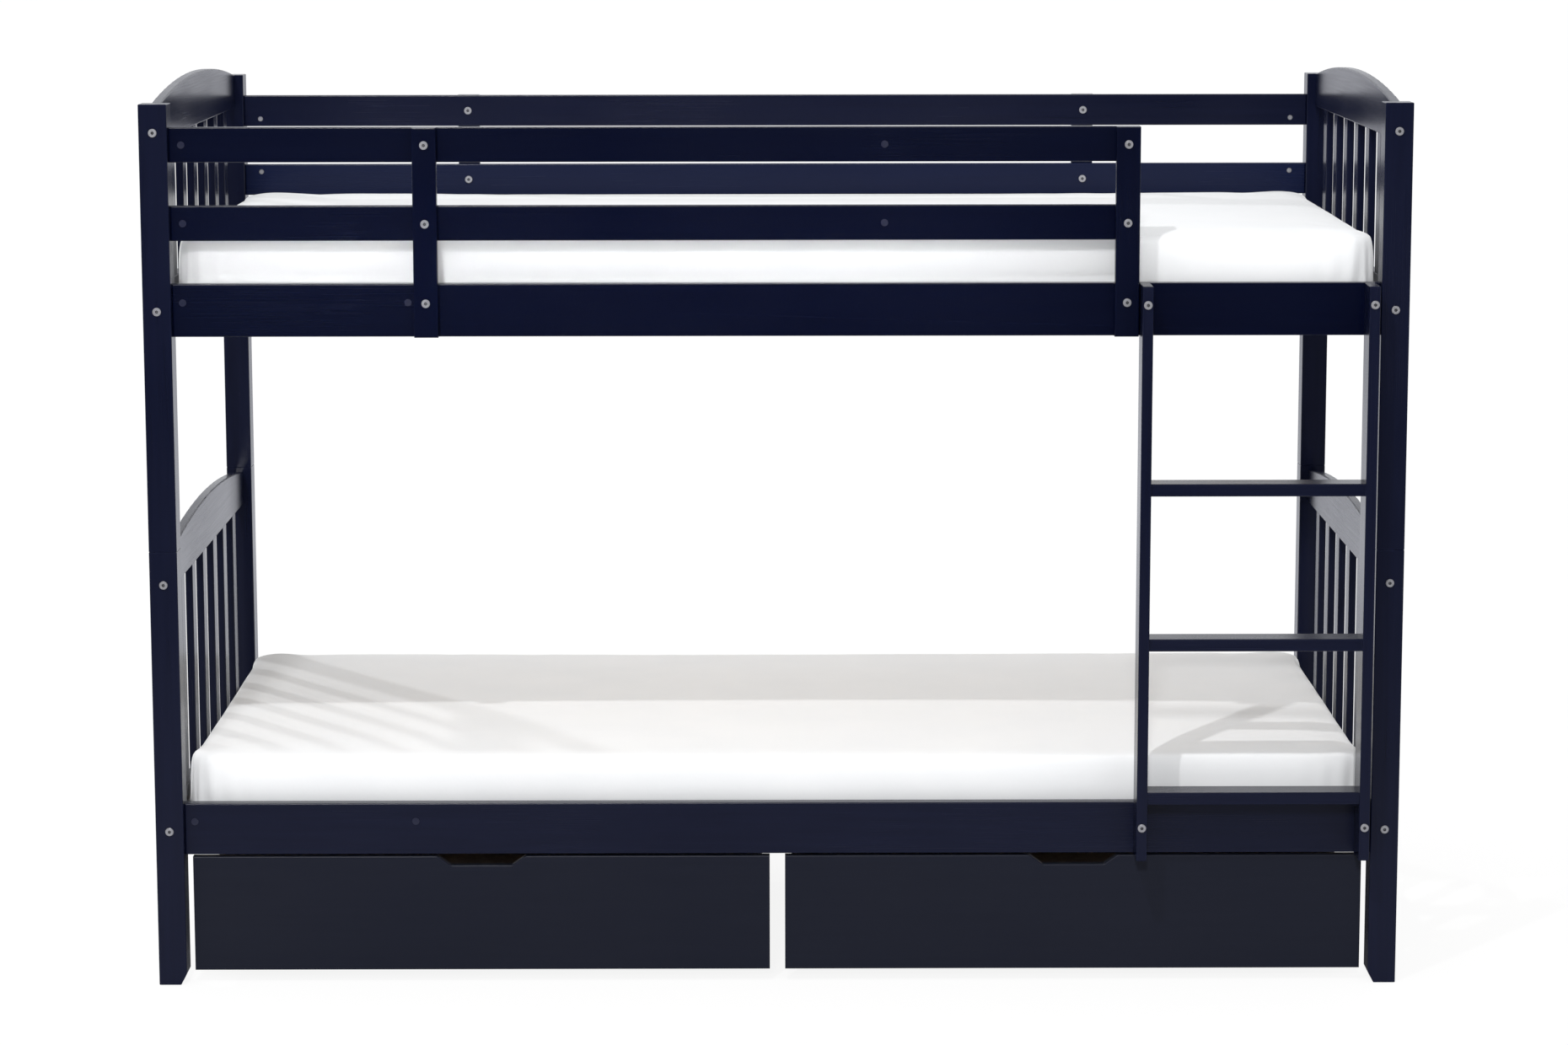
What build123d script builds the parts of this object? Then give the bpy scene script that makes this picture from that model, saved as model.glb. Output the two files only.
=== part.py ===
from build123d import *
import os

os.makedirs("parts", exist_ok=True)

# Bunk bed for two single mattresses, with two roll-out drawers and a ladder at the front right.
# Millimetres, +Z up, +X along the bed, front towards -Y, origin on the floor under its middle.

# Mattresses
mattress_length = 2000
mattress_width = 900
mattress_thickness = 127
mattress_end_gap = 3
mattress_side_gap = 10
mattress_seat_gap = 0.3
mattress_crown = 7
mattress_drawn_in = 4
mattress_side_bulge = 5
mattress_corner = 55
mattress_top_round = 16
mattress_base_round = 12

# Posts
post_size = 47
lower_post_height = 746
upper_post_height = 747
post_end_chamfer = 1
foot_cut_width = 10
foot_cut_height = 20
edge_round = 2

# Side rails, ledgers and slats
side_rail_height = 88
side_rail_thickness = 22
rail_setback = 18
lower_rail_clearance = 223
upper_rail_clearance = 360
ledger_size = 25
ledger_end_gap = 40
slat_count = 15
slat_width = 70
slat_thickness = 16
slat_end_gap = 15
slat_side_gap = 3

# Guard rails of the upper bunk and the uprights that hold them
guard_height = 58
guard_thickness = 18
guard_gap = 72
upright_width = 40
upright_centre = 581

# End panels: arched rail, spindles and cross rail
end_rail_thickness = 16
cross_rail_height = 88
arch_end_height = 61
arch_rise = 30
lower_arch_drop = 9
spindle_count = 6
spindle_width = 40
spindle_thickness = 13
tenon_width = 28
tenon_thickness = 6
tenon_length = 12
tenon_gap = 0.2

# Ladder
ladder_width = 392
ladder_side_gap = 2
stile_thickness = 18
stile_depth = 60
rung_count = 3
rung_thickness = 21
rung_depth = 50
rung_setback = 4
rung_pitch = 262
rung_top_drop = 330
rung_tenon_length = 8
rung_tenon_shoulder = 3

# Fasteners
bolt_radius = 3
bolt_gap = 0.3
thread_gap = 0.1
bolt_head_radius = 7
bolt_head_height = 2.5
bolt_head_edge = 0.8
hex_key_radius = 2.9
hex_key_depth = 1.8
bolt_tip = 4
cross_dowel_radius = 5
cross_dowel_inset = 30
side_dowel_length = 16
end_dowel_length = 12
side_bolt_spread = 28
guard_bolt_shift = 15
arch_bolt_rise = 14
through_bolt_rise = 13
nut_radius = 4.5
nut_length = 14
nut_gap = 0.15
nut_floor = 2
plug_radius = 6
plug_head_height = 1
plug_stem_length = 8
joining_pin_radius = 5
joining_pin_length = 80
joining_pin_gap = 0.1
screw_radius = 2
screw_head_radius = 4
screw_length = 34
screw_gap = 0.05

# Drawers
drawer_top_gap = 4
drawer_floor_gap = 21
drawer_side_gap = 12
drawer_middle_gap = 26
drawer_front_thickness = 16
drawer_box_inset = 15
drawer_box_depth = 750
drawer_wall = 12
drawer_wall_height = 140
drawer_bottom_thickness = 5
drawer_groove_depth = 5
drawer_groove_rise = 15
cut_out_top_width = 150
cut_out_bottom_width = 104
cut_out_depth = 16
cut_out_round = 7

# Casters under the drawers
wheel_radius = 20
wheel_width = 16
wheel_edge = 3
wheel_dish_depth = 2
wheel_hub_radius = 7
wheel_rim_width = 5
wheel_side_gap = 2
wheel_top_gap = 5
axle_radius = 3
axle_gap = 0.05
axle_overhang = 1.5
bracket_wall = 2
bracket_length = 36
bracket_below_axle = 8
caster_side_inset = 60
caster_end_inset = 70

# Sizes that follow from these
inner_length = mattress_length + 2 * mattress_end_gap
bed_length = inner_length + 2 * post_size
inner_width = mattress_width + 2 * mattress_side_gap
bed_width = inner_width + 2 * (side_rail_thickness + rail_setback)
stile_reach = stile_depth - rail_setback
total_depth = bed_width + stile_reach + 2 * bolt_head_height
front = -total_depth / 2 + stile_reach + bolt_head_height
back = front + bed_width
panel_start = front + post_size
panel_end = back - post_size
panel_middle = (front + back) / 2
panel_span = panel_end - panel_start
post_x = bed_length / 2 - post_size / 2
post_inner_x = inner_length / 2
total_height = lower_post_height + upper_post_height

lower_rail_middle = lower_rail_clearance + side_rail_height / 2
upper_rail_bottom = lower_post_height + upper_rail_clearance
upper_rail_middle = upper_rail_bottom + side_rail_height / 2
upper_rail_top = upper_rail_bottom + side_rail_height
low_guard_middle = upper_rail_top + guard_gap + guard_height / 2
top_guard_middle = low_guard_middle + guard_height + guard_gap
low_guard_bolt = low_guard_middle + guard_bolt_shift
top_guard_bolt = top_guard_middle - guard_bolt_shift
upright_top = top_guard_middle + guard_height / 2
upright_height = upright_top - upper_rail_bottom
lower_arch_bottom = lower_post_height - lower_arch_drop - arch_end_height
upper_arch_bottom = total_height - arch_end_height

ladder_left = upright_centre + upright_width / 2 + ladder_side_gap
ladder_right = ladder_left + ladder_width
ladder_bottom = lower_rail_clearance
ladder_height = upper_rail_top - ladder_bottom
stile_y = front + rail_setback - stile_depth / 2
stile_x = {"left": ladder_left + stile_thickness / 2, "right": ladder_right - stile_thickness / 2}

row_side = {"front": 1, "back": -1}
row_face = {"front": front, "back": back}
row_post_y = {row: row_face[row] + row_side[row] * post_size / 2 for row in row_side}
row_rail_face = {row: row_face[row] + row_side[row] * rail_setback for row in row_side}
row_rail_y = {row: row_rail_face[row] + row_side[row] * side_rail_thickness / 2 for row in row_side}
row_guard_y = {row: row_rail_face[row] + row_side[row] * guard_thickness / 2 for row in row_side}
row_upright_y = {row: row_face[row] + row_side[row] * rail_setback / 2 for row in row_side}
end_side = {"left": -1, "right": 1}

bunk_rail_middle = {"lower": lower_rail_middle, "upper": upper_rail_middle}
bunk_arch_bottom = {"lower": lower_arch_bottom, "upper": upper_arch_bottom}
bunk_slat_top = {
    bunk: middle - side_rail_height / 2 + ledger_size + slat_thickness
    for bunk, middle in bunk_rail_middle.items()
}

bolt_hole_radius = bolt_radius + bolt_gap
nut_hole_radius = nut_radius + nut_gap
along_x = (0, 90, 0)
along_y = (90, 0, 0)


def save(piece, name):
    """Label a finished piece and write it out."""
    piece.part.label = name
    export_step(piece.part, f"parts/{name}.step")


def bores(places, radius, length, rotation=(0, 0, 0)):
    """Cut straight round holes, each centred on its place."""
    with Locations(*places):
        Cylinder(radius, length, rotation=rotation, mode=Mode.SUBTRACT)


def side_bolt_heights(bunk):
    """Heights of the two bolts at each end of a side rail."""
    middle = bunk_rail_middle[bunk]
    return [middle - side_bolt_spread, middle + side_bolt_spread]


def panel_bolt_heights(bunk):
    """Heights of the bolts that hold an end panel's cross rail and arched rail."""
    return [bunk_rail_middle[bunk], bunk_arch_bottom[bunk] + arch_bolt_rise]


def guard_ends(row):
    """Ends of the guard rails: the front ones stop at the right-hand upright."""
    if row == "front":
        return -post_inner_x, upright_centre + upright_width / 2
    return -post_inner_x, post_inner_x


def guard_bolt_places(row, end):
    """Heights of the guard rail bolts in one post."""
    if row == "front" and end == "right":
        return []
    return [low_guard_bolt, top_guard_bolt]


# Posts: the upper ones stand on the lower ones over a steel pin
for end, sign in end_side.items():
    for row in row_side:
        for bunk in ("lower", "upper"):
            height = lower_post_height if bunk == "lower" else upper_post_height
            base = 0 if bunk == "lower" else lower_post_height
            x = sign * post_x
            y = row_post_y[row]
            with BuildPart() as post:
                with Locations((x, y, base + height / 2)):
                    Box(post_size, post_size, height)
                if bunk == "lower":
                    inner = sign * post_inner_x
                    with BuildSketch(Plane.XZ.offset(-y)):
                        with BuildLine():
                            Polyline(
                                (inner, 0),
                                (inner + sign * foot_cut_width, 0),
                                (inner, foot_cut_height),
                                close=True,
                            )
                        make_face()
                    extrude(amount=post_size / 2, both=True, mode=Mode.SUBTRACT)
                fillet(post.edges().filter_by(Axis.Z), edge_round)
                chamfer(post.faces().sort_by(Axis.Z)[-1].edges(), post_end_chamfer)
                chamfer(post.faces().sort_by(Axis.Z)[0].edges(), post_end_chamfer)
                rail_bolts = [(x, row_rail_y[row], z) for z in side_bolt_heights(bunk)]
                bores(rail_bolts, bolt_hole_radius, post_size, along_x)
                panel_bolts = [(x, y, z) for z in panel_bolt_heights(bunk)]
                bores(panel_bolts, bolt_hole_radius, post_size, along_y)
                guard_bolts = [(x, row_guard_y[row], z) for z in guard_bolt_places(row, end)]
                if bunk == "upper" and guard_bolts:
                    bores(guard_bolts, bolt_hole_radius, post_size, along_x)
                pin_hole = [(x, y, lower_post_height)]
                bores(pin_hole, joining_pin_radius + joining_pin_gap, joining_pin_length)
            save(post, f"{bunk}_post_{row}_{end}")

# Arched top rails of the end panels
spindle_pitch = panel_span / (spindle_count + 1)
spindle_rows = [panel_start + spindle_pitch * (i + 1) for i in range(spindle_count)]
dowel_rows = [panel_start + cross_dowel_inset, panel_end - cross_dowel_inset]
bolt_bore_length = cross_dowel_inset + cross_dowel_radius + bolt_tip
panel_bore_rows = [panel_start + bolt_bore_length / 2, panel_end - bolt_bore_length / 2]


def panel_fastener_holes(x, sign, z):
    """Bolt bores and cross dowel holes in both ends of an end panel rail."""
    bores([(x, y, z) for y in panel_bore_rows], bolt_hole_radius, bolt_bore_length, along_y)
    open_face = x + sign * end_rail_thickness / 2
    depth = end_rail_thickness / 2 + end_dowel_length / 2
    centre = open_face - sign * depth / 2
    bores([(centre, y, z) for y in dowel_rows], cross_dowel_radius, depth, along_x)


def mortises(x, z, depth):
    """Pockets for the spindles' tenons, centred on height z."""
    with Locations(*[(x, y, z) for y in spindle_rows]):
        Box(tenon_thickness + tenon_gap, tenon_width + tenon_gap, depth, mode=Mode.SUBTRACT)


for end, sign in end_side.items():
    for bunk in ("lower", "upper"):
        x = sign * post_x
        bottom = bunk_arch_bottom[bunk]
        shoulder = bottom + arch_end_height
        with BuildPart() as arch:
            with BuildSketch(Plane.YZ.offset(x)):
                with BuildLine():
                    Polyline(
                        (panel_start, shoulder),
                        (panel_start, bottom),
                        (panel_end, bottom),
                        (panel_end, shoulder),
                    )
                    ThreePointArc(
                        (panel_end, shoulder),
                        (panel_middle, shoulder + arch_rise),
                        (panel_start, shoulder),
                    )
                make_face()
            extrude(amount=end_rail_thickness / 2, both=True)
            fillet(arch.faces().filter_by(Axis.X).edges(), edge_round)
            panel_fastener_holes(x, sign, bottom + arch_bolt_rise)
            mortises(x, bottom, 2 * tenon_length)
        save(arch, f"{bunk}_arched_rail_{end}")

# Cross rails at the foot of the end panels
for end, sign in end_side.items():
    for bunk, middle in bunk_rail_middle.items():
        x = sign * post_x
        with BuildPart() as cross_rail:
            with Locations((x, panel_middle, middle)):
                Box(end_rail_thickness, panel_span, cross_rail_height)
            fillet(cross_rail.faces().filter_by(Axis.X).edges(), edge_round)
            panel_fastener_holes(x, sign, middle)
            mortises(x, middle + cross_rail_height / 2, 2 * tenon_length)
        save(cross_rail, f"{bunk}_cross_rail_{end}")

# Spindles between arched rail and cross rail, tenoned into both
for bunk in ("lower", "upper"):
    low = bunk_rail_middle[bunk] + cross_rail_height / 2
    high = bunk_arch_bottom[bunk]
    middle = (low + high) / 2
    tenon_reach = tenon_length - tenon_gap
    with BuildPart() as spindle:
        with Locations((0, 0, middle)):
            Box(spindle_thickness, spindle_width, high - low)
        fillet(spindle.edges().filter_by(Axis.Z), edge_round)
        with Locations((0, 0, middle)):
            Box(tenon_thickness, tenon_width, high - low + 2 * tenon_reach)
    with BuildPart() as spindles:
        with Locations(*[(sign * post_x, y, 0) for sign in end_side.values() for y in spindle_rows]):
            add(spindle.part)
    save(spindles, f"{bunk}_spindles")

# Side rails with holes for the post bolts, cross dowels, uprights and ladder
stile_places = list(stile_x.values())
upright_places = [-upright_centre, upright_centre]
spare_ladder_places = [-place for place in stile_places]


def end_fastener_holes(ends, y, thickness, side, heights):
    """Bolt bores and cross dowel holes in the ends of a long rail, open to the inside."""
    inner_face = y + side * thickness / 2
    depth = thickness / 2 + side_dowel_length / 2
    for edge, inward in ends:
        bore_x = edge + inward * bolt_bore_length / 2
        dowel_x = edge + inward * cross_dowel_inset
        bores([(bore_x, y, z) for z in heights], bolt_hole_radius, bolt_bore_length, along_x)
        dowels = [(dowel_x, inner_face - side * depth / 2, z) for z in heights]
        bores(dowels, cross_dowel_radius, depth, along_y)


def through_holes(xs, y, z):
    """Holes for sleeve nuts, right through a long rail."""
    bores([(x, y, z) for x in xs], nut_hole_radius, side_rail_thickness, along_y)


for row, side in row_side.items():
    for bunk, middle in bunk_rail_middle.items():
        y = row_rail_y[row]
        with BuildPart() as side_rail:
            with Locations((0, y, middle)):
                Box(inner_length, side_rail_thickness, side_rail_height)
            fillet(side_rail.faces().filter_by(Axis.Y).edges(), edge_round)
            both_ends = [(-post_inner_x, 1), (post_inner_x, -1)]
            end_fastener_holes(both_ends, y, side_rail_thickness, side, side_bolt_heights(bunk))
            if bunk == "upper":
                through_holes(upright_places, y, middle + through_bolt_rise)
            if row == "front":
                through_holes(stile_places + spare_ladder_places, y, middle + through_bolt_rise)
        save(side_rail, f"{bunk}_side_rail_{row}")

# Ledgers along the inner faces of the side rails, flush with their lower edges
ledger_length = inner_length - 2 * ledger_end_gap
slat_run = inner_length - 2 * slat_end_gap - slat_width
slat_pitch = slat_run / (slat_count - 1)
slat_places = [-slat_run / 2 + slat_pitch * i for i in range(slat_count)]
ledger_y = {
    row: row_rail_face[row] + row_side[row] * (side_rail_thickness + ledger_size / 2)
    for row in row_side
}
pilot_depth = screw_length - slat_thickness
for bunk, slat_top in bunk_slat_top.items():
    ledger_top = slat_top - slat_thickness
    with BuildPart() as ledgers:
        with Locations(*[(0, y, ledger_top - ledger_size / 2) for y in ledger_y.values()]):
            Box(ledger_length, ledger_size, ledger_size)
        pilots = [(x, y, ledger_top - pilot_depth / 2) for x in slat_places for y in ledger_y.values()]
        bores(pilots, screw_radius + screw_gap, pilot_depth)
    save(ledgers, f"{bunk}_ledgers")

# Slats across the bed, screwed to the ledgers
slat_length = inner_width - 2 * slat_side_gap
for bunk, slat_top in bunk_slat_top.items():
    with BuildPart() as slat:
        with Locations((0, panel_middle, slat_top - slat_thickness / 2)):
            Box(slat_width, slat_length, slat_thickness)
        fillet(slat.edges().filter_by(Axis.Y), edge_round)
        with Locations(*[(0, y, slat_top) for y in ledger_y.values()]):
            CounterSinkHole(screw_radius + screw_gap, screw_head_radius + screw_gap, slat_thickness)
    with BuildPart() as slats:
        with Locations(*[(x, 0, 0) for x in slat_places]):
            add(slat.part)
    save(slats, f"{bunk}_slats")

# Guard rails around the upper mattress; the front ones can be turned end for end
for row, side in row_side.items():
    start, stop = guard_ends(row)
    middle_x = (start + stop) / 2
    y = row_guard_y[row]
    ends = [(start, 1)] if row == "front" else [(start, 1), (stop, -1)]
    spare_places = [2 * middle_x - x for x in upright_places] if row == "front" else []
    for level, z in (("low", low_guard_middle), ("top", top_guard_middle)):
        bolt_z = low_guard_bolt if level == "low" else top_guard_bolt
        with BuildPart() as guard:
            with Locations((middle_x, y, z)):
                Box(stop - start, guard_thickness, guard_height)
            fillet(guard.faces().filter_by(Axis.Y).edges(), edge_round)
            end_fastener_holes(ends, y, guard_thickness, side, [bolt_z])
            through_holes(upright_places + spare_places, y, z)
        save(guard, f"{level}_guard_rail_{row}")

# Uprights outside the guard rails, bolted to them and to the upper side rail
upright_bolt_heights = [upper_rail_middle + through_bolt_rise, low_guard_middle, top_guard_middle]


def upright_at(places, row):
    """Flat uprights with bolt holes, standing from the side rail's foot to the top guard."""
    y = row_upright_y[row]
    hole_radius = bolt_hole_radius if row == "front" else nut_hole_radius
    with BuildPart() as upright:
        with Locations((0, y, (upper_rail_bottom + upright_top) / 2)):
            Box(upright_width, rail_setback, upright_height)
        fillet(upright.faces().filter_by(Axis.Y).edges(), edge_round)
        bores([(0, y, z) for z in upright_bolt_heights], hole_radius, rail_setback, along_y)
    with BuildPart() as standing:
        with Locations(*[(x, 0, 0) for x in places]):
            add(upright.part)
    return standing


save(upright_at([-upright_centre], "front"), "front_upright_left")
save(upright_at([upright_centre], "front"), "front_upright_right")
save(upright_at(upright_places, "back"), "back_uprights")

# Ladder: stiles on edge against both side rails, with three rungs housed between them
rung_tops = [upper_rail_top - rung_top_drop - rung_pitch * i for i in range(rung_count)]
rung_y = stile_y - stile_depth / 2 + rung_setback + rung_depth / 2
rung_span = ladder_width - 2 * stile_thickness
rung_x = (ladder_left + ladder_right) / 2
rung_middles = [top - rung_thickness / 2 for top in rung_tops]
ladder_bolt_heights = [middle + through_bolt_rise for middle in bunk_rail_middle.values()]
for end, sign in end_side.items():
    x = stile_x[end]
    with BuildPart() as stile:
        with Locations((x, stile_y, ladder_bottom + ladder_height / 2)):
            Box(stile_thickness, stile_depth, ladder_height)
        fillet(stile.edges(), edge_round)
        inner_face = x - sign * stile_thickness / 2
        with Locations(*[(inner_face, rung_y, z) for z in rung_middles]):
            Box(
                2 * rung_tenon_length,
                rung_depth - 2 * rung_tenon_shoulder + tenon_gap,
                rung_thickness - 2 * rung_tenon_shoulder + tenon_gap,
                mode=Mode.SUBTRACT,
            )
        bores([(x, stile_y, z) for z in ladder_bolt_heights], bolt_hole_radius, stile_depth, along_y)
    save(stile, f"ladder_stile_{end}")

with BuildPart() as rung:
    with Locations((rung_x, rung_y, 0)):
        Box(rung_span, rung_depth, rung_thickness)
    fillet(rung.edges().filter_by(Axis.X), edge_round)
    with Locations((rung_x, rung_y, 0)):
        Box(
            rung_span + 2 * (rung_tenon_length - tenon_gap),
            rung_depth - 2 * rung_tenon_shoulder,
            rung_thickness - 2 * rung_tenon_shoulder,
        )
with BuildPart() as rungs:
    with Locations(*[(0, 0, z) for z in rung_middles]):
        add(rung.part)
save(rungs, "ladder_rungs")


# Fasteners
def bolt_of(length):
    """Flat-headed connector bolt: head above the XY plane, shaft of this length below it."""
    with BuildPart() as bolt:
        Cylinder(bolt_head_radius, bolt_head_height, align=(Align.CENTER, Align.CENTER, Align.MIN))
        chamfer(bolt.edges().sort_by(Axis.Z)[-1], bolt_head_edge)
        Cylinder(bolt_radius, length, align=(Align.CENTER, Align.CENTER, Align.MAX))
        with BuildSketch(Plane.XY.offset(bolt_head_height)):
            RegularPolygon(hex_key_radius, 6)
        extrude(amount=-hex_key_depth, mode=Mode.SUBTRACT)
    return bolt.part


def facing(point, outward):
    """A place at a point whose +Z looks along the outward direction."""
    return Plane(origin=point, z_dir=outward).location


post_bolt_length = post_size + cross_dowel_inset + cross_dowel_radius
rail_bolt_places = []
panel_bolt_places = []
side_dowel_places = []
end_dowel_places = []
for end, sign in end_side.items():
    outer_x = sign * bed_length / 2
    dowel_x = sign * (post_inner_x - cross_dowel_inset)
    for row, side in row_side.items():
        along_rail = [(row_rail_y[row], z) for bunk in bunk_rail_middle for z in side_bolt_heights(bunk)]
        along_guard = [(row_guard_y[row], z) for z in guard_bolt_places(row, end)]
        for y, z in along_rail + along_guard:
            rail_bolt_places.append(facing((outer_x, y, z), (sign, 0, 0)))
            side_dowel_places.append(Location((dowel_x, y, z)))
        panel_y = row_face[row] + side * (post_size + cross_dowel_inset)
        for bunk in bunk_rail_middle:
            for z in panel_bolt_heights(bunk):
                panel_bolt_places.append(facing((sign * post_x, row_face[row], z), (0, -side, 0)))
                end_dowel_places.append(Location((sign * post_x, panel_y, z)))

through_bolts = [
    ("front", x, front, z, guard_thickness) for x in upright_places for z in upright_bolt_heights[1:]
]
through_bolts += [
    ("front", x, front, upright_bolt_heights[0], side_rail_thickness) for x in upright_places
]
through_bolts += [
    ("ladder", x, stile_y - stile_depth / 2, z, side_rail_thickness)
    for x in stile_places
    for z in ladder_bolt_heights
]
front_depth = {"front": rail_setback, "ladder": stile_depth}
upright_bolt = bolt_of(rail_setback + guard_thickness - nut_floor - bolt_head_height)
ladder_bolt = bolt_of(stile_depth + side_rail_thickness - nut_floor - bolt_head_height)
upright_bolt_places = []
ladder_bolt_places = []
nut_places = []
for kind, x, head_y, z, thickness in through_bolts:
    places = upright_bolt_places if kind == "front" else ladder_bolt_places
    places.append(facing((x, head_y, z), (0, -1, 0)))
    nut_places.append(facing((x, head_y + front_depth[kind] + thickness, z), (0, 1, 0)))
for x in upright_places:
    for z in upright_bolt_heights:
        thickness = side_rail_thickness if z < upper_rail_top else guard_thickness
        head_y = back - rail_setback - thickness
        upright_bolt_places.append(facing((x, head_y, z), (0, -1, 0)))
        nut_places.append(facing((x, back, z), (0, 1, 0)))

post_bolt = bolt_of(post_bolt_length)
with BuildPart() as connector_bolts:
    with Locations(*rail_bolt_places, *panel_bolt_places):
        add(post_bolt)
    with Locations(*upright_bolt_places):
        add(upright_bolt)
    with Locations(*ladder_bolt_places):
        add(ladder_bolt)
save(connector_bolts, "connector_bolts")

# Cross dowels: threaded barrels that take the bolts' tips inside the rails
with BuildPart() as cross_dowels:
    with Locations(*side_dowel_places):
        Cylinder(cross_dowel_radius, side_dowel_length, rotation=along_y)
        Cylinder(
            bolt_radius + thread_gap,
            2 * cross_dowel_radius,
            rotation=along_x,
            mode=Mode.SUBTRACT,
        )
    with Locations(*end_dowel_places):
        Cylinder(cross_dowel_radius, end_dowel_length, rotation=along_x)
        Cylinder(
            bolt_radius + thread_gap,
            2 * cross_dowel_radius,
            rotation=along_y,
            mode=Mode.SUBTRACT,
        )
save(cross_dowels, "cross_dowels")

# Sleeve nuts on the far side of each through bolt
with BuildPart() as sleeve_nut:
    Cylinder(bolt_head_radius, bolt_head_height, align=(Align.CENTER, Align.CENTER, Align.MIN))
    chamfer(sleeve_nut.edges().sort_by(Axis.Z)[-1], bolt_head_edge)
    Cylinder(nut_radius, nut_length, align=(Align.CENTER, Align.CENTER, Align.MAX))
    with Locations((0, 0, -nut_floor)):
        Cylinder(
            bolt_radius + thread_gap,
            nut_length,
            align=(Align.CENTER, Align.CENTER, Align.MAX),
            mode=Mode.SUBTRACT,
        )
with BuildPart() as sleeve_nuts:
    with Locations(*nut_places):
        add(sleeve_nut.part)
save(sleeve_nuts, "sleeve_nuts")

# Plugs in the holes that serve the bed when guard rails and ladder change sides
guard_middle_x = sum(guard_ends("front")) / 2
plug_points = [
    (2 * guard_middle_x - x, z) for x in upright_places for z in (low_guard_middle, top_guard_middle)
]
plug_points += [(x, z) for x in spare_ladder_places for z in ladder_bolt_heights]
plug_y = row_rail_face["front"]
with BuildPart() as plug:
    Cylinder(plug_radius, plug_head_height, align=(Align.CENTER, Align.CENTER, Align.MIN))
    Cylinder(nut_radius, plug_stem_length, align=(Align.CENTER, Align.CENTER, Align.MAX))
with BuildPart() as hole_plugs:
    with Locations(*[facing((x, plug_y, z), (0, -1, 0)) for x, z in plug_points]):
        add(plug.part)
save(hole_plugs, "hole_plugs")

# Steel pins that join the lower and upper posts
with BuildPart() as joining_pins:
    for sign in end_side.values():
        with Locations(*[(sign * post_x, y, lower_post_height) for y in row_post_y.values()]):
            Cylinder(joining_pin_radius, joining_pin_length)
save(joining_pins, "joining_pins")

# Countersunk screws through the slats into the ledgers
screw_head_height = screw_head_radius - screw_radius
with BuildPart() as screw:
    Cylinder(screw_radius, screw_length, align=(Align.CENTER, Align.CENTER, Align.MAX))
    with Locations((0, 0, -screw_head_height)):
        Cone(
            screw_radius,
            screw_head_radius,
            screw_head_height,
            align=(Align.CENTER, Align.CENTER, Align.MIN),
        )
with BuildPart() as slat_screws:
    with Locations(
        *[(x, y, z) for x in slat_places for y in ledger_y.values() for z in bunk_slat_top.values()]
    ):
        add(screw.part)
save(slat_screws, "slat_screws")

# Mattresses: crowned top, sides that bulge between the seams and are drawn in between corners
mattress_front = panel_middle - mattress_width / 2
mattress_back = panel_middle + mattress_width / 2
mattress_end = mattress_length / 2


def cushion_section(plane, low, high, floor, top):
    """Upright section: flat base, bulging sides, rounded seams and an arched top."""
    middle = (low + high) / 2
    waist = floor + mattress_thickness / 2
    left = low + mattress_side_bulge
    right = high - mattress_side_bulge
    with BuildSketch(plane) as section:
        with BuildLine():
            Line((left, floor), (right, floor))
            ThreePointArc((right, floor), (high, waist), (right, top))
            ThreePointArc((right, top), (middle, top + mattress_crown), (left, top))
            ThreePointArc((left, top), (low, waist), (left, floor))
        outline = make_face()
        fillet(outline.vertices().sort_by(Axis.Z)[-2:], mattress_top_round)
        fillet(outline.vertices().sort_by(Axis.Z)[:2], mattress_base_round)
    return section.sketch


for bunk, slat_top in bunk_slat_top.items():
    floor = slat_top + mattress_seat_gap
    top = floor + mattress_thickness - mattress_crown
    middle_plane = Plane.XZ.offset(-panel_middle)
    across = cushion_section(Plane.YZ, mattress_front, mattress_back, floor, top)
    along = cushion_section(middle_plane, -mattress_end, mattress_end, floor, top)
    with BuildPart() as mattress:
        extrude(across, amount=mattress_end, both=True)
        extrude(along, amount=mattress_width / 2, both=True, mode=Mode.INTERSECT)
        with BuildSketch(Plane.XY.offset(floor)):
            with BuildLine():
                ThreePointArc(
                    (-mattress_end, mattress_front),
                    (0, mattress_front + mattress_drawn_in),
                    (mattress_end, mattress_front),
                )
                ThreePointArc(
                    (mattress_end, mattress_front),
                    (mattress_end - mattress_drawn_in, panel_middle),
                    (mattress_end, mattress_back),
                )
                ThreePointArc(
                    (mattress_end, mattress_back),
                    (0, mattress_back - mattress_drawn_in),
                    (-mattress_end, mattress_back),
                )
                ThreePointArc(
                    (-mattress_end, mattress_back),
                    (-mattress_end + mattress_drawn_in, panel_middle),
                    (-mattress_end, mattress_front),
                )
            outline = make_face()
            fillet(outline.vertices(), mattress_corner)
        extrude(amount=mattress_thickness, mode=Mode.INTERSECT)
    save(mattress, f"{bunk}_mattress")

# Drawers
drawer_front_height = lower_rail_clearance - drawer_top_gap - drawer_floor_gap
drawer_front_width = (inner_length - 2 * drawer_side_gap - drawer_middle_gap) / 2
drawer_top = drawer_floor_gap + drawer_front_height
drawer_face = front + rail_setback
box_front = drawer_face + drawer_front_thickness
box_back = box_front + drawer_box_depth
box_width = drawer_front_width - 2 * drawer_box_inset
plate_top = 2 * wheel_radius + wheel_top_gap + bracket_wall
wall_bottom = plate_top - drawer_groove_rise
wall_top = wall_bottom + drawer_wall_height
bottom_middle = plate_top + drawer_bottom_thickness / 2
bottom_width = box_width - 2 * drawer_wall + 2 * drawer_groove_depth
wheel_lines = {"front": box_front + caster_end_inset, "rear": box_back - caster_end_inset}
bracket_height = plate_top - wheel_radius + bracket_below_axle
bracket_width = wheel_width + 2 * wheel_side_gap + 2 * bracket_wall
axle_length = bracket_width + 2 * axle_overhang


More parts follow.
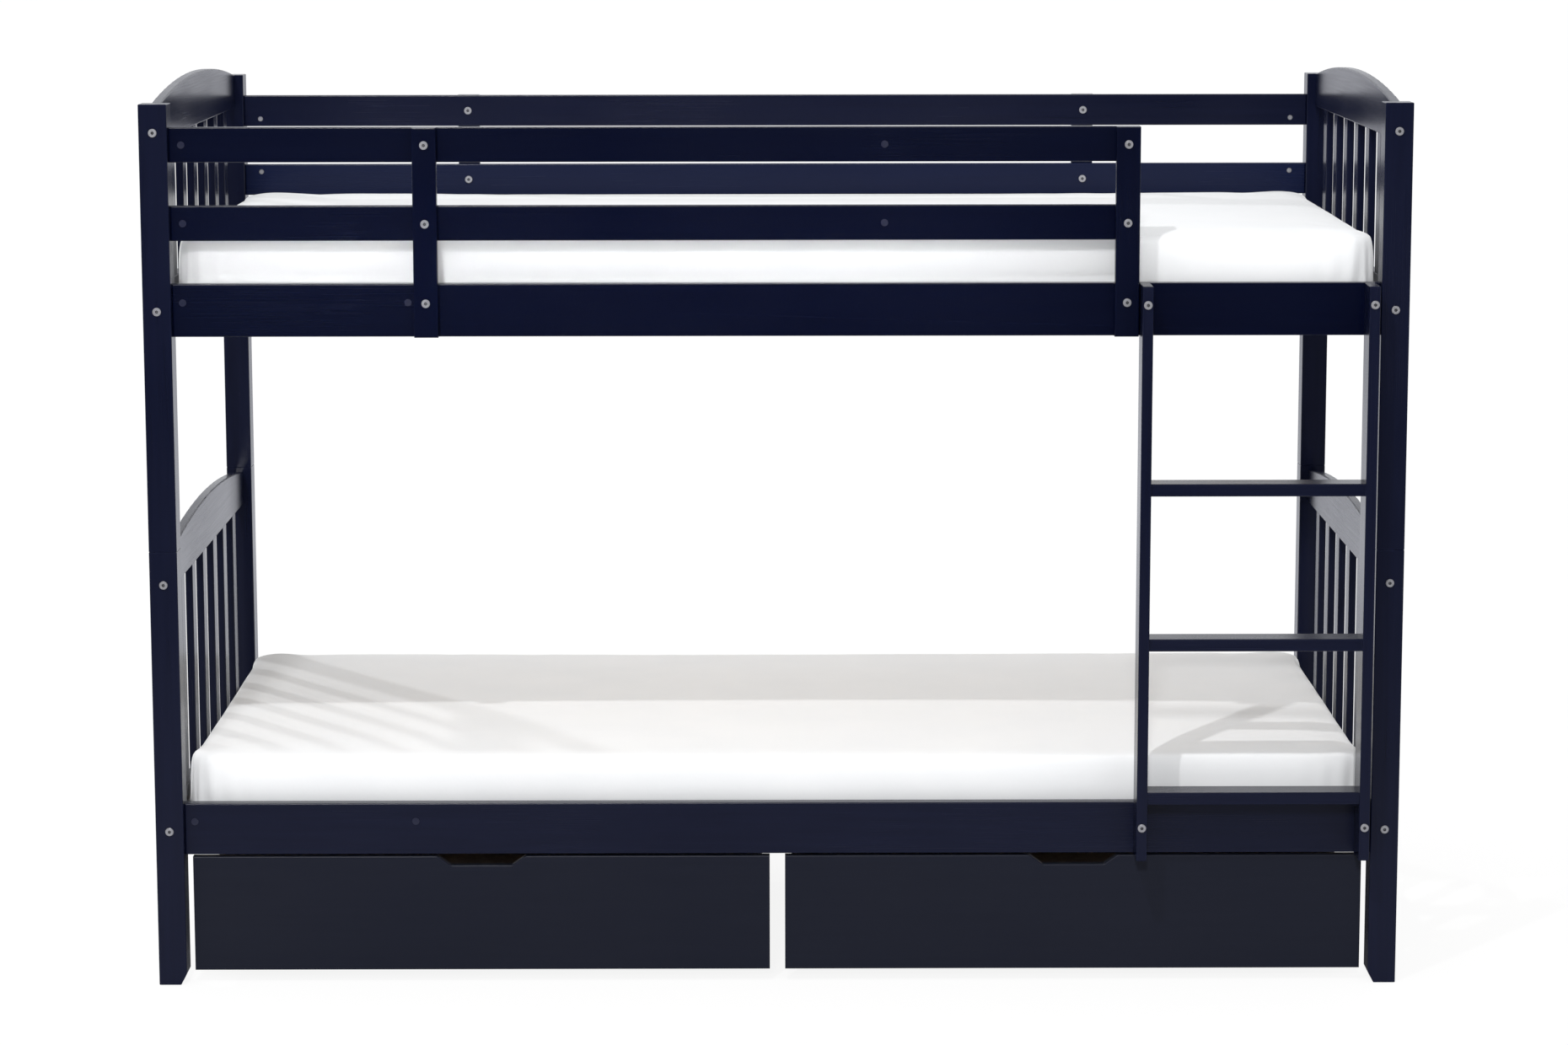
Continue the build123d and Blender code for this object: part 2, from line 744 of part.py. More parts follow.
def drawer_front(x):
    """Front panel with a tapered finger cut-out in its top edge."""
    with BuildPart() as panel:
        with Locations((x, drawer_face + drawer_front_thickness / 2, drawer_top - drawer_front_height / 2)):
            Box(drawer_front_width, drawer_front_thickness, drawer_front_height)
        with BuildSketch(Plane.XZ.offset(-drawer_face)):
            with BuildLine():
                Polyline(
                    (x - cut_out_top_width / 2, drawer_top),
                    (x - cut_out_bottom_width / 2, drawer_top - cut_out_depth),
                    (x + cut_out_bottom_width / 2, drawer_top - cut_out_depth),
                    (x + cut_out_top_width / 2, drawer_top),
                    close=True,
                )
            make_face()
        extrude(amount=-drawer_front_thickness, mode=Mode.SUBTRACT)
        reach = cut_out_top_width / 2 + edge_round
        corners = panel.edges().filter_by(Axis.Y).filter_by_position(Axis.X, x - reach, x + reach)
        fillet(corners, cut_out_round)
        fillet(panel.faces().sort_by(Axis.Y)[0].edges(), edge_round)
        with Locations((x, box_front, bottom_middle)):
            Box(bottom_width, 2 * drawer_groove_depth, drawer_bottom_thickness, mode=Mode.SUBTRACT)
    return panel


def drawer_sides(x):
    """Two side walls, grooved on the inside for the bottom panel."""
    offset = box_width / 2 - drawer_wall / 2
    middle_y = (box_front + box_back) / 2
    with BuildPart() as walls:
        with Locations(*[(x + side * offset, middle_y, wall_bottom) for side in (-1, 1)]):
            Box(
                drawer_wall,
                drawer_box_depth,
                drawer_wall_height,
                align=(Align.CENTER, Align.CENTER, Align.MIN),
            )
        fillet(walls.faces().sort_by(Axis.Z)[-2:].edges().filter_by(Axis.Y), edge_round)
        with Locations((x, middle_y, bottom_middle)):
            Box(bottom_width, drawer_box_depth, drawer_bottom_thickness, mode=Mode.SUBTRACT)
    return walls


def drawer_back(x):
    """Back wall, standing on the bottom panel between the sides."""
    height = wall_top - plate_top - drawer_bottom_thickness
    with BuildPart() as wall:
        with Locations((x, box_back - drawer_wall / 2, wall_top - height / 2)):
            Box(box_width - 2 * drawer_wall, drawer_wall, height)
        fillet(wall.faces().sort_by(Axis.Z)[-1].edges().filter_by(Axis.X), edge_round)
    return wall


def drawer_bottom(x):
    """Bottom panel, held in the grooves of the front and the sides."""
    start = box_front - drawer_groove_depth
    with BuildPart() as panel:
        with Locations((x, (start + box_back) / 2, bottom_middle)):
            Box(bottom_width, box_back - start, drawer_bottom_thickness)
    return panel


def caster_places(x, y):
    """The two casters on one axle line."""
    offset = box_width / 2 - caster_side_inset
    return [(x - offset, y, wheel_radius), (x + offset, y, wheel_radius)]


def drawer_brackets(x):
    """Fixed fork brackets under the bottom panel, bored for the axles."""
    opening = wheel_width + 2 * wheel_side_gap
    lift = plate_top - wheel_radius - bracket_height / 2
    places = [place for y in wheel_lines.values() for place in caster_places(x, y)]
    with BuildPart() as bracket:
        with Locations((0, 0, lift)):
            Box(bracket_width, bracket_length, bracket_height)
        with Locations((0, 0, lift - bracket_wall)):
            Box(opening, bracket_length, bracket_height, mode=Mode.SUBTRACT)
        Cylinder(axle_radius + axle_gap, bracket_width, rotation=along_x, mode=Mode.SUBTRACT)
    with BuildPart() as brackets:
        with Locations(*places):
            add(bracket.part)
    return brackets


def drawer_axles(x):
    """Steel axles through the brackets."""
    places = [place for y in wheel_lines.values() for place in caster_places(x, y)]
    with BuildPart() as axles:
        with Locations(*places):
            Cylinder(axle_radius, axle_length, rotation=along_x)
    return axles


def wheel_pair(x, y):
    """Two wheels with a rounded tread and dished sides."""
    half = wheel_width / 2
    dish_outer = wheel_radius - wheel_rim_width
    with BuildPart() as wheel:
        Cylinder(wheel_radius, wheel_width, rotation=along_x)
        fillet(wheel.edges(), wheel_edge)
        for face_sign in (-1, 1):
            with BuildSketch(Plane.YZ.offset(face_sign * half)):
                Circle(dish_outer)
                Circle(wheel_hub_radius, mode=Mode.SUBTRACT)
            extrude(amount=-face_sign * wheel_dish_depth, mode=Mode.SUBTRACT)
        Cylinder(axle_radius + axle_gap, wheel_width, rotation=along_x, mode=Mode.SUBTRACT)
    with BuildPart() as pair:
        with Locations(*caster_places(x, y)):
            add(wheel.part)
    return pair


for end, sign in end_side.items():
    x = sign * (drawer_middle_gap + drawer_front_width) / 2
    save(drawer_front(x), f"{end}_drawer_front")
    save(drawer_sides(x), f"{end}_drawer_sides")
    save(drawer_back(x), f"{end}_drawer_back")
    save(drawer_bottom(x), f"{end}_drawer_bottom")
    save(drawer_brackets(x), f"{end}_drawer_caster_brackets")
    save(drawer_axles(x), f"{end}_drawer_axles")
    for line, y in wheel_lines.items():
        save(wheel_pair(x, y), f"{end}_drawer_{line}_wheels")
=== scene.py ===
import bpy
import bmesh
import math
import numpy as np
from mathutils import Matrix, Vector


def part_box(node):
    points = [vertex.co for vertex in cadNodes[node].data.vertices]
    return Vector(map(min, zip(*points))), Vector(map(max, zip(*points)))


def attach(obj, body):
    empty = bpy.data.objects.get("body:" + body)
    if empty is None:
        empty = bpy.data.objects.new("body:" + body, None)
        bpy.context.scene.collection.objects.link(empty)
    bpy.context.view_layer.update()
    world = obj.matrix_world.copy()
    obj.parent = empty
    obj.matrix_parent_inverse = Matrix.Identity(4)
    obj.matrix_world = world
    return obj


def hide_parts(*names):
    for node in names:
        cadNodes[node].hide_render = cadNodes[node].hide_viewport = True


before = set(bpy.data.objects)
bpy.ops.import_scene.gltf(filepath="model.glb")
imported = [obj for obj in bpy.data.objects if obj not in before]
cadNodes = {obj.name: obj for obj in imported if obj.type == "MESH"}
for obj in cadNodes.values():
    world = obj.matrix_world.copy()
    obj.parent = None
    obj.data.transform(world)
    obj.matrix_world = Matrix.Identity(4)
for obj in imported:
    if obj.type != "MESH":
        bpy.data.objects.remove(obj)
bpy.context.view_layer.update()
scene = bpy.context.scene
print("frame loaded with", len(cadNodes), "nodes")

# camera, standing in front of the bed at head height
cameraSettings = {
    "place": (-0.0100, -6.9608, 1.8663),
    "lookDown": 0.14669,
    "turnRight": 0.0034,
    "roll": -0.00124,
    "focalPixels": 4665.4,
    "imageWidth": 1860,
    "sensorWidth": 36.0,
    "windowDrop": 80,
    "farthest": 200,
}


def makeCamera(settings):
    data = bpy.data.cameras.new("bedCamera")
    data.sensor_width = settings["sensorWidth"]
    data.lens = settings["focalPixels"] / settings["imageWidth"] * settings["sensorWidth"]
    data.shift_y = -settings["windowDrop"] / settings["imageWidth"]
    data.clip_end = settings["farthest"]
    camera = bpy.data.objects.new("bedCamera", data)
    turned = Matrix.Rotation(-settings["turnRight"], 4, "Z")
    tilted = Matrix.Rotation(math.pi / 2 - settings["lookDown"], 4, "X")
    rolled = Matrix.Rotation(settings["roll"], 4, "Z")
    camera.matrix_world = Matrix.Translation(settings["place"]) @ turned @ tilted @ rolled
    scene.collection.objects.link(camera)
    scene.camera = camera


makeCamera(cameraSettings)
print("camera placed")


# small helpers for node trees
def plug(tree, node, inputs):
    for socket, value in inputs.items():
        if isinstance(value, bpy.types.NodeSocket):
            tree.links.new(value, node.inputs[socket])
        else:
            node.inputs[socket].default_value = value


def addNode(tree, kind, inputs=None, **values):
    node = tree.nodes.new(kind)
    for name, value in values.items():
        setattr(node, name, value)
    plug(tree, node, inputs or {})
    return node


def mathNode(tree, operation, *values):
    return addNode(tree, "ShaderNodeMath", dict(enumerate(values)), operation=operation).outputs[0]


def mixColors(tree, factor, first, second):
    inputs = {0: factor, 6: first, 7: second}
    return addNode(tree, "ShaderNodeMix", inputs, data_type="RGBA").outputs[2]


def noise(tree, vector, values):
    return addNode(tree, "ShaderNodeTexNoise", {"Vector": vector, **values}).outputs["Fac"]


def spread(tree, value, fromLow, fromHigh, toLow=0.0, toHigh=1.0):
    inputs = {
        "Value": value, "From Min": fromLow, "From Max": fromHigh, "To Min": toLow, "To Max": toHigh,
    }
    return addNode(tree, "ShaderNodeMapRange", inputs, clamp=True).outputs["Result"]


def stretch(tree, vector, scale):
    return addNode(tree, "ShaderNodeMapping", {"Vector": vector, "Scale": scale}).outputs[0]


# the sum of several values, each times its share
def weigh(tree, values, shares):
    total = mathNode(tree, "MULTIPLY", values[0], shares[0])
    for value, share in zip(values[1:], shares[1:]):
        total = mathNode(tree, "MULTIPLY_ADD", value, share, total)
    return total


def bumpNormal(tree, strength, distance, height):
    inputs = {"Strength": strength, "Distance": distance, "Height": height}
    return addNode(tree, "ShaderNodeBump", inputs).outputs[0]


def startGroup(name, inputs, outputs):
    tree = bpy.data.node_groups.new(name, "ShaderNodeTree")
    for socketName, kind, value in inputs:
        socket = tree.interface.new_socket(name=socketName, in_out="INPUT", socket_type=kind)
        if value is not None:
            socket.default_value = value
    for socketName, kind in outputs:
        tree.interface.new_socket(name=socketName, in_out="OUTPUT", socket_type=kind)
    return tree, tree.nodes.new("NodeGroupInput"), tree.nodes.new("NodeGroupOutput")


floatKind = "NodeSocketFloat"
colorKind = "NodeSocketColor"
vectorKind = "NodeSocketVector"

# lacquer over planed pine: shallow brush lines, a little grain and a slow tone drift
lacquerTexture = {
    "grainStretch": (1.5, 34, 34),
    "grain": {"Scale": 3.0, "Detail": 4.0, "Roughness": 0.6, "Distortion": 0.6},
    "brushStretch": (3, 210, 210),
    "brush": {"Scale": 2.0, "Detail": 2.0, "Roughness": 0.5},
    "drift": {"Scale": 2.2, "Detail": 2.0, "Roughness": 0.5},
    "peel": {"Scale": 260.0, "Detail": 1.0, "Roughness": 0.4},
    "toneShares": (0.5, 0.5),
    "toneRange": (0.32, 0.68),
    "heightShares": (0.35, 0.25, 0.10),
    "bumpDistance": 0.0006,
    "brushRange": (0.3, 0.7),
    "brushRoughness": 0.04,
    "driftRange": (0.35, 0.65),
    "driftRoughness": (-0.03, 0.03),
}


def makeLacquerGroup(texture):
    tree, start, end = startGroup(
        "lacquerOverGrain",
        [("Along", vectorKind, None), ("Color", colorKind, None), ("Deep Color", colorKind, None),
         ("Roughness", floatKind, 0.3), ("Relief", floatKind, 0.1)],
        [("Color", colorKind), ("Roughness", floatKind), ("Normal", vectorKind)],
    )
    along = start.outputs["Along"]
    grain = noise(tree, stretch(tree, along, texture["grainStretch"]), texture["grain"])
    lines = noise(tree, stretch(tree, along, texture["brushStretch"]), texture["brush"])
    drift = noise(tree, along, texture["drift"])
    peel = noise(tree, along, texture["peel"])
    tone = spread(tree, weigh(tree, (grain, drift), texture["toneShares"]), *texture["toneRange"])
    color = mixColors(tree, tone, start.outputs["Deep Color"], start.outputs["Color"])
    height = weigh(tree, (grain, lines, peel), texture["heightShares"])
    normal = bumpNormal(tree, start.outputs["Relief"], texture["bumpDistance"], height)
    worn = spread(tree, lines, *texture["brushRange"])
    worn = mathNode(tree, "MULTIPLY_ADD", worn, texture["brushRoughness"], start.outputs["Roughness"])
    sway = spread(tree, drift, *texture["driftRange"], *texture["driftRoughness"])
    worn = mathNode(tree, "ADD", worn, sway)
    plug(tree, end, {"Color": color, "Roughness": worn, "Normal": normal})
    return tree


# edges where the finish is rubbed thin; the lighter edge colour is also a painted highlight where rounded
# edges catch light
edgeTexture = {
    "bevelSamples": 4,
    "edgeRange": (0.995, 0.86),
    "patches": {"Scale": 38.0, "Detail": 3.0, "Roughness": 0.65},
    "patchRange": (0.38, 0.66),
}


def makeEdgeGroup(texture):
    tree, start, end = startGroup(
        "rubbedAndHighlitEdges",
        [("Vector", vectorKind, None), ("Width", floatKind, 0.002), ("Amount", floatKind, 0.5)],
        [("Mask", floatKind)],
    )
    radius = {"Radius": start.outputs["Width"]}
    rounded = addNode(tree, "ShaderNodeBevel", radius, samples=texture["bevelSamples"]).outputs[0]
    facing = addNode(tree, "ShaderNodeNewGeometry").outputs["Normal"]
    dot = addNode(tree, "ShaderNodeVectorMath", {0: rounded, 1: facing}, operation="DOT_PRODUCT")
    edge = spread(tree, dot.outputs["Value"], *texture["edgeRange"])
    patches = noise(tree, start.outputs["Vector"], texture["patches"])
    patches = spread(tree, patches, *texture["patchRange"])
    mask = mathNode(tree, "MULTIPLY", mathNode(tree, "MULTIPLY", edge, patches), start.outputs["Amount"])
    plug(tree, end, {"Mask": mask})
    return tree


# pale dust that settles on faces looking up
dustTexture = {
    "levelRange": (0.55, 0.98),
    "clouds": {"Scale": 9.0, "Detail": 4.0, "Roughness": 0.6},
    "cloudRange": (0.35, 0.70),
    "fine": {"Scale": 420.0, "Detail": 1.0, "Roughness": 0.5},
    "fineRange": (0.35, 0.75),
}


def makeDustGroup(texture):
    tree, start, end = startGroup(
        "settledDust",
        [("Vector", vectorKind, None), ("Amount", floatKind, 0.1)],
        [("Mask", floatKind)],
    )
    vector = start.outputs["Vector"]
    facing = addNode(tree, "ShaderNodeNewGeometry").outputs["Normal"]
    upward = addNode(tree, "ShaderNodeSeparateXYZ", {0: facing}).outputs["Z"]
    level = spread(tree, upward, *texture["levelRange"])
    clouds = spread(tree, noise(tree, vector, texture["clouds"]), *texture["cloudRange"])
    fine = spread(tree, noise(tree, vector, texture["fine"]), *texture["fineRange"])
    mask = mathNode(tree, "MULTIPLY", level, mathNode(tree, "MULTIPLY", clouds, fine))
    plug(tree, end, {"Mask": mathNode(tree, "MULTIPLY", mask, start.outputs["Amount"])})
    return tree


# planed pine: growth lines, pores and a few knots
pineTexture = {
    "wanderStretch": (0.55, 7, 7),
    "wander": {"Scale": 1.1, "Detail": 2.0, "Roughness": 0.5},
    "ringStretch": (0.12, 9, 5),
    "rings": {"Scale": 2.6, "Distortion": 7.0, "Detail": 2.0, "Detail Scale": 0.7},
    "fibreStretch": (4, 190, 190),
    "fibres": {"Scale": 2.0, "Detail": 2.0, "Roughness": 0.55},
    "knotStretch": (3.1, 6.5, 0.2),
    "knots": {"Scale": 1.0},
    "knotRange": (0.075, 0.03),
    "toneShares": (0.6, 0.35, 0.3),
    "toneRange": (0.25, 1.0),
    "bumpDistance": 0.0005,
    "roughness": (0.62, 0.48),
}


def makePineGroup(texture):
    tree, start, end = startGroup(
        "planedPine",
        [("Along", vectorKind, None), ("Early Wood", colorKind, None), ("Late Wood", colorKind, None),
         ("Knot", colorKind, None), ("Relief", floatKind, 0.2)],
        [("Color", colorKind), ("Roughness", floatKind), ("Normal", vectorKind)],
    )
    along = start.outputs["Along"]
    wander = noise(tree, stretch(tree, along, texture["wanderStretch"]), texture["wander"])
    fibres = noise(tree, stretch(tree, along, texture["fibreStretch"]), texture["fibres"])
    rings = addNode(tree, "ShaderNodeTexWave", {
        "Vector": stretch(tree, along, texture["ringStretch"]), **texture["rings"],
    }, wave_type="RINGS", rings_direction="X", wave_profile="SAW").outputs["Fac"]
    knot = addNode(tree, "ShaderNodeTexVoronoi", {
        "Vector": stretch(tree, along, texture["knotStretch"]), **texture["knots"],
    }).outputs["Distance"]
    knot = spread(tree, knot, *texture["knotRange"])
    tone = weigh(tree, (rings, fibres, wander), texture["toneShares"])
    tone = spread(tree, tone, *texture["toneRange"])
    color = mixColors(tree, tone, start.outputs["Early Wood"], start.outputs["Late Wood"])
    color = mixColors(tree, knot, color, start.outputs["Knot"])
    rough = spread(tree, tone, 0.0, 1.0, *texture["roughness"])
    normal = bumpNormal(tree, start.outputs["Relief"], texture["bumpDistance"], tone)
    plug(tree, end, {"Color": color, "Roughness": rough, "Normal": normal})
    return tree


# plain cotton weave with soft creases, the same on every side of a piece
weaveTexture = {
    "slubs": {"Scale": 240.0, "Detail": 2.0, "Roughness": 0.6},
    "creases": {"Scale": 9.0, "Detail": 4.0, "Roughness": 0.55, "Distortion": 0.8},
    "heightShares": (0.12, 0.8, 9.0),
    "bumpDistance": 0.0004,
    "shade": {"Scale": 5.0, "Detail": 3.0, "Roughness": 0.55},
    "shadeRange": (0.3, 0.7),
}


def makeWeaveGroup(texture):
    tree, start, end = startGroup(
        "cottonWeave",
        [("Vector", vectorKind, None), ("Thread Count", floatKind, 900.0), ("Relief", floatKind, 0.2)],
        [("Shade", floatKind), ("Normal", vectorKind)],
    )
    vector = start.outputs["Vector"]
    axes = addNode(tree, "ShaderNodeSeparateXYZ", {0: vector}).outputs
    turns = mathNode(tree, "MULTIPLY", start.outputs["Thread Count"], 2 * math.pi)
    waves = [mathNode(tree, "SINE", mathNode(tree, "MULTIPLY", axis, turns)) for axis in axes]
    threads = mathNode(tree, "ADD", mathNode(tree, "ADD", waves[0], waves[1]), waves[2])
    slubs = noise(tree, vector, texture["slubs"])
    creases = noise(tree, vector, texture["creases"])
    height = weigh(tree, (threads, slubs, creases), texture["heightShares"])
    normal = bumpNormal(tree, start.outputs["Relief"], texture["bumpDistance"], height)
    shade = spread(tree, noise(tree, vector, texture["shade"]), *texture["shadeRange"])
    plug(tree, end, {"Shade": shade, "Normal": normal})
    return tree


# fine scratches and haze on plated metal, moulded plastic and hardboard
scuffTexture = {
    "spots": {"Detail": 3.0, "Roughness": 0.5},
    "haze": {"Scale": 70.0, "Detail": 2.0, "Roughness": 0.55},
    "hazeRange": (0.35, 0.65),
    "hazeRoughness": (-0.05, 0.08),
    "toneRange": (0.3, 0.7),
    "bumpDistance": 0.0003,
}


def makeScuffGroup(texture):
    tree, start, end = startGroup(
        "fineScuffs",
        [("Vector", vectorKind, None), ("Scale", floatKind, 600.0), ("Roughness", floatKind, 0.3),
         ("Relief", floatKind, 0.1)],
        [("Tone", floatKind), ("Roughness", floatKind), ("Normal", vectorKind)],
    )
    vector = start.outputs["Vector"]
    spots = noise(tree, vector, {"Scale": start.outputs["Scale"], **texture["spots"]})
    haze = noise(tree, vector, texture["haze"])
    haze = spread(tree, haze, *texture["hazeRange"], *texture["hazeRoughness"])
    rough = mathNode(tree, "ADD", start.outputs["Roughness"], haze)
    tone = spread(tree, spots, *texture["toneRange"])
    normal = bumpNormal(tree, start.outputs["Relief"], texture["bumpDistance"], spots)
    plug(tree, end, {"Tone": tone, "Roughness": rough, "Normal": normal})
    return tree


lacquerGroup = makeLacquerGroup(lacquerTexture)
edgeGroup = makeEdgeGroup(edgeTexture)
dustGroup = makeDustGroup(dustTexture)
pineGroup = makePineGroup(pineTexture)
weaveGroup = makeWeaveGroup(weaveTexture)
scuffGroup = makeScuffGroup(scuffTexture)
print("shared finishes built")

# how each group's vector is turned, so that grain runs along the piece
grainTurns = {"length": (0, 0, 0), "depth": (0, 0, math.pi / 2), "height": (0, math.pi / 2, 0)}


def startMaterial(name):
    material = bpy.data.materials.new(name)
    material.use_nodes = True
    tree = material.node_tree
    shader = tree.nodes["Principled BSDF"]
    place = addNode(tree, "ShaderNodeTexCoord").outputs["Object"]
    return material, tree, shader, place


def useGroup(tree, group, inputs):
    return addNode(tree, "ShaderNodeGroup", inputs, node_tree=group).outputs


def turnGrain(tree, place, direction):
    inputs = {"Vector": place, "Rotation": grainTurns[direction]}
    return addNode(tree, "ShaderNodeMapping", inputs).outputs[0]


# navy paint of the frame, then what differs on the front boards (a darker copy, as painted shade), the low
# back guard (a lighter, bluer copy, as painted light) and the drawers
lacquerSettings = {
    "color": (0.0046, 0.0066, 0.0232, 1),
    "deepColor": (0.0028, 0.0042, 0.0160, 1),
    "rubbedHighlightColor": (0.026, 0.032, 0.070, 1),
    "dustColor": (0.30, 0.31, 0.35, 1),
    "roughness": 0.22,
    "relief": 0.05,
    "specular": 0.30,
    "edgeWidth": 0.0025,
    "edgeAmount": 0.5,
    "dustAmount": 0.04,
    "dustRoughness": 0.5,
}
# painted shade: the front boards wear a darker copy of the frame paint
shadedFrontSettings = {
    **lacquerSettings,
    "color": (0.0009, 0.0025, 0.0148, 1),
    "deepColor": (0.0005, 0.0015, 0.0110, 1),
    "rubbedHighlightColor": (0.020, 0.026, 0.062, 1),
    "specular": 0.26,
}
# painted light: the low back guard wears a lighter, bluer copy of the frame paint
litLowBackSettings = {
    **lacquerSettings,
    "color": (0.0058, 0.0098, 0.0370, 1),
    "deepColor": (0.0046, 0.0080, 0.0310, 1),
    "roughness": 0.24,
    "specular": 0.18,
}
boardSettings = {
    **lacquerSettings,
    "color": (0.0076, 0.0096, 0.0206, 1),
    "deepColor": (0.0062, 0.0080, 0.0180, 1),
    "rubbedHighlightColor": (0.030, 0.035, 0.055, 1),
    "roughness": 0.38,
    "relief": 0.06,
    "specular": 0.25,
    "edgeWidth": 0.002,
    "edgeAmount": 0.4,
    "dustAmount": 0.05,
}


def makePaint(name, settings, direction):
    material, tree, shader, place = startMaterial(name)
    paint = useGroup(tree, lacquerGroup, {
        "Along": turnGrain(tree, place, direction),
        "Color": settings["color"],
        "Deep Color": settings["deepColor"],
        "Roughness": settings["roughness"],
        "Relief": settings["relief"],
    })
    edges = useGroup(tree, edgeGroup, {
        "Vector": place, "Width": settings["edgeWidth"], "Amount": settings["edgeAmount"],
    })["Mask"]
    dust = useGroup(tree, dustGroup, {"Vector": place, "Amount": settings["dustAmount"]})["Mask"]
    # painted highlight and wear: edges are mixed toward the lighter rubbed colour
    color = mixColors(tree, edges, paint["Color"], settings["rubbedHighlightColor"])
    color = mixColors(tree, dust, color, settings["dustColor"])
    rough = mathNode(tree, "MULTIPLY_ADD", dust, settings["dustRoughness"], paint["Roughness"])
    plug(tree, shader, {
        "Base Color": color,
        "Roughness": rough,
        "Normal": paint["Normal"],
        "Specular IOR Level": settings["specular"],
    })
    return material


pineSettings = {
    "earlyWood": (0.68, 0.55, 0.38, 1),
    "lateWood": (0.54, 0.38, 0.22, 1),
    "knot": (0.20, 0.085, 0.035, 1),
    "relief": 0.35,
    "specular": 0.35,
}


def makePine(name, settings, direction):
    material, tree, shader, place = startMaterial(name)
    pine = useGroup(tree, pineGroup, {
        "Along": turnGrain(tree, place, direction),
        "Early Wood": settings["earlyWood"],
        "Late Wood": settings["lateWood"],
        "Knot": settings["knot"],
        "Relief": settings["relief"],
    })
    plug(tree, shader, {
        "Base Color": pine["Color"],
        "Roughness": pine["Roughness"],
        "Normal": pine["Normal"],
        "Specular IOR Level": settings["specular"],
    })
    return material


# one row for each metal, plastic and board finish made from the scuff group
scuffedSettings = {
    "zincPlate": {
        "dark": (0.32, 0.32, 0.35, 1),
        "light": (0.54, 0.54, 0.57, 1),
        "recessShadeColor": (0.012, 0.012, 0.016, 1),
        "scale": 900.0, "roughness": 0.38, "relief": 0.15, "metallic": 0.62,
    },
    "navyPlug": {
        "dark": (0.007, 0.009, 0.030, 1),
        "light": (0.011, 0.014, 0.042, 1),
        "recessShadeColor": (0.003, 0.004, 0.012, 1),
        "scale": 700.0, "roughness": 0.40, "relief": 0.15, "metallic": 0.0,
    },
    "casterPlastic": {
        "dark": (0.035, 0.035, 0.038, 1),
        "light": (0.060, 0.060, 0.064, 1),
        "recessShadeColor": (0.015, 0.015, 0.016, 1),
        "scale": 1400.0, "roughness": 0.48, "relief": 0.25, "metallic": 0.0,
    },
    # partly painted shade: the brown hardboard is darkened to stand in for the shade inside the drawers
    "shadeDarkHardboard": {
        "dark": (0.050, 0.035, 0.024, 1),
        "light": (0.105, 0.074, 0.052, 1),
        "recessShadeColor": (0.025, 0.016, 0.011, 1),
        "scale": 320.0, "roughness": 0.55, "relief": 0.35, "metallic": 0.0,
    },
}
# painted shade: sockets, slots and concave corners are darkened inside by an ambient occlusion mask
recessShadeSettings = {"reach": 0.006, "samples": 8, "openRange": (0.55, 0.92)}


def makeScuffed(name, settings, recessShadeRow):
    material, tree, shader, place = startMaterial(name)
    scuffs = useGroup(tree, scuffGroup, {
        "Vector": place,
        "Scale": settings["scale"],
        "Roughness": settings["roughness"],
        "Relief": settings["relief"],
    })
    color = mixColors(tree, scuffs["Tone"], settings["dark"], settings["light"])
    # painted shade: the recess shade colour is mixed in where ambient occlusion finds a hollow
    reach = {"Distance": recessShadeRow["reach"]}
    openToLight = addNode(tree, "ShaderNodeAmbientOcclusion", reach, samples=recessShadeRow["samples"]).outputs["AO"]
    openToLight = spread(tree, openToLight, *recessShadeRow["openRange"])
    plug(tree, shader, {
        "Base Color": mixColors(tree, openToLight, settings["recessShadeColor"], color),
        "Roughness": scuffs["Roughness"],
        "Normal": scuffs["Normal"],
        "Metallic": settings["metallic"],
    })
    return material


cottonSettings = {
    "lower": {"color": (0.845, 0.853, 0.865, 1), "shadeColor": (0.815, 0.827, 0.843, 1)},
    # painted shade: the upper cover's tones are a darker copy of the lower cover's, though both are the
    # same fabric
    "upper": {"color": (0.803, 0.810, 0.822, 1), "shadeColor": (0.774, 0.786, 0.801, 1)},
    "threadCount": 700.0,
    "relief": 0.25,
    "roughness": 0.85,
    "sheen": 0.15,
    "specular": 0.2,
}


def makeCotton(name, settings, bunk):
    material, tree, shader, place = startMaterial(name)
    tones = settings[bunk]
    weave = useGroup(tree, weaveGroup, {
        "Vector": place, "Thread Count": settings["threadCount"], "Relief": settings["relief"],
    })
    plug(tree, shader, {
        "Base Color": mixColors(tree, weave["Shade"], tones["shadeColor"], tones["color"]),
        "Normal": weave["Normal"],
        "Roughness": settings["roughness"],
        "Sheen Weight": settings["sheen"],
        "Specular IOR Level": settings["specular"],
    })
    return material


bunks = ("lower", "upper")
paints = {d: makePaint("navyLacquer_" + d, lacquerSettings, d) for d in grainTurns}
shadedFrontPaints = {d: makePaint("shadedFrontLacquer_" + d, shadedFrontSettings, d) for d in ("length", "height")}
litLowBackPaint = makePaint("litLowBackLacquer", litLowBackSettings, "length")
boardPaint = makePaint("drawerPaint", boardSettings, "length")
sidePaint = makePaint("drawerSidePaint", boardSettings, "depth")
slatPine = makePine("slatPine", pineSettings, "depth")
ledgerPine = makePine("ledgerPine", pineSettings, "length")
scuffed = {name: makeScuffed(name, row, recessShadeSettings) for name, row in scuffedSettings.items()}
cottons = {bunk: makeCotton(bunk + "WhiteCotton", cottonSettings, bunk) for bunk in bunks}
print("materials built")

